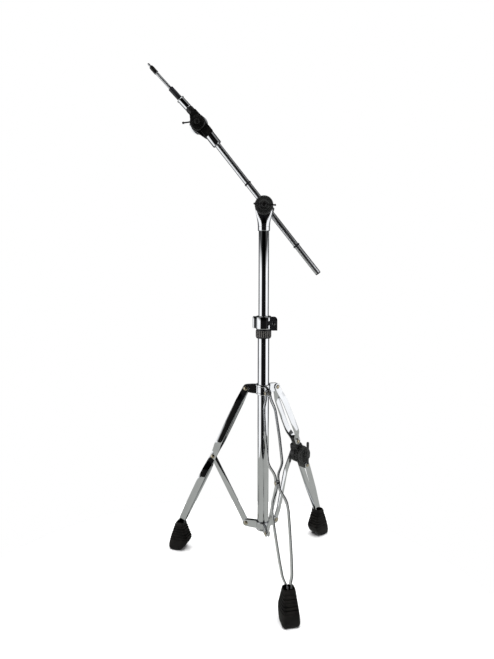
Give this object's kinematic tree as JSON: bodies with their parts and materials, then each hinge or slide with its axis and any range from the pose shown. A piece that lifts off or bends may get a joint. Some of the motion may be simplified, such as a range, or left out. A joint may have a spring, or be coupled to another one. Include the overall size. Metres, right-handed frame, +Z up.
{
  "type": "boom cymbal stand",
  "caption": "Chrome boom stand for a cymbal: folding tripod with a jointed leg, telescoping tube with clamp, boom tilter, sliding boom and small cymbal tilter with a post.",
  "frame": {"origin": "middle of the bounding box, on the floor under the feet", "axes": "+Z up along the upright tube, -Y towards the front leg, the boom rises towards -X in the XZ plane"},
  "size_m": [0.4728, 0.4456, 1.25],
  "materials": {
    "chrome": "bright polished chrome plate",
    "rivet": "bright passivated steel with a warm tint",
    "rubber": "matt moulded black rubber",
    "nylon": "satin black nylon",
    "grey_casting": "charcoal painted die casting",
    "black_casting": "satin black coated die casting"
  },
  "bodies": {
    "base": {"base_tube": "chrome", "lower_bracket": "chrome", "clamp_sleeve": "nylon", "clamp_body": "chrome", "lower_rivet_front_a": "rivet", "lower_rivet_front_b": "rivet", "lower_rivet_left_a": "rivet", "lower_rivet_left_b": "rivet", "lower_rivet_right_a": "rivet", "lower_rivet_right_b": "rivet"},
    "collar": {"leg_collar": "chrome"},
    "collar_screw": {"collar_screw": "chrome"},
    "clamp_bolt": {"clamp_bolt": "chrome"},
    "clamp_wing_nut": {"clamp_wing_nut": "nylon"},
    "leg_front": {"leg_front_strap_a": "chrome", "leg_front_strap_b": "chrome", "leg_front_top_pin": "rivet", "leg_front_brace_pin": "rivet", "boot_front": "rubber"},
    "leg_left": {"leg_left_strap_a": "chrome", "leg_left_strap_b": "chrome", "leg_left_top_pin": "rivet", "leg_left_brace_pin": "rivet", "boot_left": "rubber"},
    "leg_right": {"leg_right_upper_strap_a": "chrome", "leg_right_upper_strap_b": "chrome", "leg_right_top_pin": "rivet", "leg_right_brace_pin": "rivet", "knee_neck_pin": "rivet", "knee_upper_casting": "black_casting"},
    "knee_lower": {"knee_lower_casting": "grey_casting", "knee_shin_pin": "rivet", "leg_right_lower_strap_a": "chrome", "leg_right_lower_strap_b": "chrome", "boot_right": "rubber"},
    "knee_wing": {"knee_wing_bolt": "grey_casting"},
    "brace_front": {"brace_front": "chrome"},
    "brace_left": {"brace_left": "chrome"},
    "brace_right": {"brace_right": "chrome"},
    "carriage": {"mast_plug": "nylon"},
    "mast": {"mast_tube": "chrome", "tilter_neck": "chrome", "tilter_face": "grey_casting"},
    "tilter_wing": {"tilter_wing_bolt": "black_casting"},
    "boom_clamp": {"boom_clamp": "grey_casting"},
    "boom_lock": {"boom_lock_screw": "black_casting"},
    "boom_bush": {"boom_bush": "nylon"},
    "boom": {"boom_tube": "chrome", "boom_end_cap": "nylon", "stop_ring_high": "nylon", "stop_ring_low": "nylon", "head_sleeve": "chrome", "cymbal_tilter_base": "black_casting", "cymbal_tilter_washer": "chrome"},
    "cymbal_arm": {"cymbal_tilter_arm": "black_casting", "post_seat": "chrome", "post_rod": "chrome", "post_sleeve": "nylon"},
    "cymbal_wing": {"cymbal_wing_bolt": "black_casting"},
    "cymbal_nut": {"cymbal_nut": "black_casting"}
  },
  "joints": [
    {"name": "collar_slide", "type": "slide", "parent": "base", "child": "collar", "axis": [0, 0, 1], "range_m": [0, 0.0404]},
    {"name": "collar_screw_turn", "type": "hinge", "parent": "collar", "child": "collar_screw", "pos_m": [0.04384, 0.03586, 0.46086], "axis": [-0.3746, 0.9272, 0], "continuous": true},
    {"name": "clamp_bolt_turn", "type": "hinge", "parent": "base", "child": "clamp_bolt", "pos_m": [0.06784, 0.03586, 0.62929], "axis": [0, -1, 0], "continuous": true},
    {"name": "clamp_nut_turn", "type": "hinge", "parent": "base", "child": "clamp_wing_nut", "pos_m": [0.06784, 0.03586, 0.62929], "axis": [0, -1, 0], "continuous": true},
    {"name": "leg_front_fold", "type": "hinge", "parent": "collar", "child": "leg_front", "pos_m": [0.05472, -0.0078, 0.46086], "axis": [0.9703, 0.2419, 0], "range_deg": [0, 19]},
    {"name": "brace_front_fold", "type": "hinge", "parent": "leg_front", "child": "brace_front", "pos_m": [0.07676, -0.09617, 0.27163], "axis": [-0.9703, -0.2419, 0], "range_deg": [0, 39.79]},
    {"name": "leg_left_fold", "type": "hinge", "parent": "collar", "child": "leg_left", "pos_m": [0.00058, 0.04826, 0.46086], "axis": [-0.2756, -0.9613, 0], "range_deg": [0, 19]},
    {"name": "brace_left_fold", "type": "hinge", "parent": "leg_left", "child": "brace_left", "pos_m": [-0.08696, 0.07336, 0.27163], "axis": [0.2756, 0.9613, 0], "range_deg": [0, 39.79]},
    {"name": "leg_right_fold", "type": "hinge", "parent": "collar", "child": "leg_right", "pos_m": [0.07621, 0.06712, 0.46086], "axis": [-0.6947, 0.7193, 0], "range_deg": [0, 19]},
    {"name": "brace_right_fold", "type": "hinge", "parent": "leg_right", "child": "brace_right", "pos_m": [0.14172, 0.13038, 0.27163], "axis": [0.6947, -0.7193, 0], "range_deg": [0, 39.79]},
    {"name": "knee_tilt", "type": "hinge", "parent": "leg_right", "child": "knee_lower", "pos_m": [0.14671, 0.1352, 0.25722], "axis": [0.6947, -0.7193, 0], "range_deg": [-35, 40]},
    {"name": "knee_wing_turn", "type": "hinge", "parent": "leg_right", "child": "knee_wing", "pos_m": [0.14671, 0.1352, 0.25722], "axis": [-0.6947, 0.7193, 0], "continuous": true},
    {"name": "height_slide", "type": "slide", "parent": "base", "child": "carriage", "axis": [0, 0, 1], "range_m": [-0.19, 0.12]},
    {"name": "mast_swivel", "type": "hinge", "parent": "carriage", "child": "mast", "pos_m": [0.04384, 0.03586, 0.4], "axis": [0, 0, 1], "continuous": true},
    {"name": "boom_tilt", "type": "hinge", "parent": "mast", "child": "boom_clamp", "pos_m": [0.04384, 0.03586, 0.91104], "axis": [0, 1, 0], "range_deg": [-75, 38.7]},
    {"name": "tilter_wing_turn", "type": "hinge", "parent": "mast", "child": "tilter_wing", "pos_m": [0.04384, 0.03586, 0.91104], "axis": [0, -1, 0], "continuous": true},
    {"name": "boom_lock_turn", "type": "hinge", "parent": "boom_clamp", "child": "boom_lock", "pos_m": [0.04735, 0.03586, 0.91385], "axis": [0, 1, 0], "continuous": true},
    {"name": "boom_roll", "type": "hinge", "parent": "boom_clamp", "child": "boom_bush", "pos_m": [0.04735, 0.05986, 0.91385], "axis": [-0.6252, 0, 0.7804], "continuous": true},
    {"name": "boom_slide", "type": "slide", "parent": "boom_bush", "child": "boom", "axis": [-0.6252, 0, 0.7804], "range_m": [-0.04, 0.09]},
    {"name": "cymbal_tilt", "type": "hinge", "parent": "boom", "child": "cymbal_arm", "pos_m": [-0.11661, 0.05986, 1.11051], "axis": [0, 1, 0], "range_deg": [-60, 60]},
    {"name": "cymbal_wing_turn", "type": "hinge", "parent": "boom", "child": "cymbal_wing", "pos_m": [-0.11661, 0.05986, 1.11051], "axis": [0, -1, 0], "continuous": true},
    {"name": "cymbal_nut_turn", "type": "hinge", "parent": "cymbal_arm", "child": "cymbal_nut", "pos_m": [-0.22146, 0.05986, 1.23427], "axis": [-0.6833, 0, 0.7302], "continuous": true}
  ],
  "couplings": [
    {"joint": "leg_front_fold", "follows": "collar_slide", "rad_per_m": 8.0786},
    {"joint": "brace_front_fold", "follows": "collar_slide", "rad_per_m": 16.976},
    {"joint": "leg_left_fold", "follows": "collar_slide", "rad_per_m": 8.0786},
    {"joint": "brace_left_fold", "follows": "collar_slide", "rad_per_m": 16.976},
    {"joint": "leg_right_fold", "follows": "collar_slide", "rad_per_m": 8.0786},
    {"joint": "brace_right_fold", "follows": "collar_slide", "rad_per_m": 16.976}
  ]
}
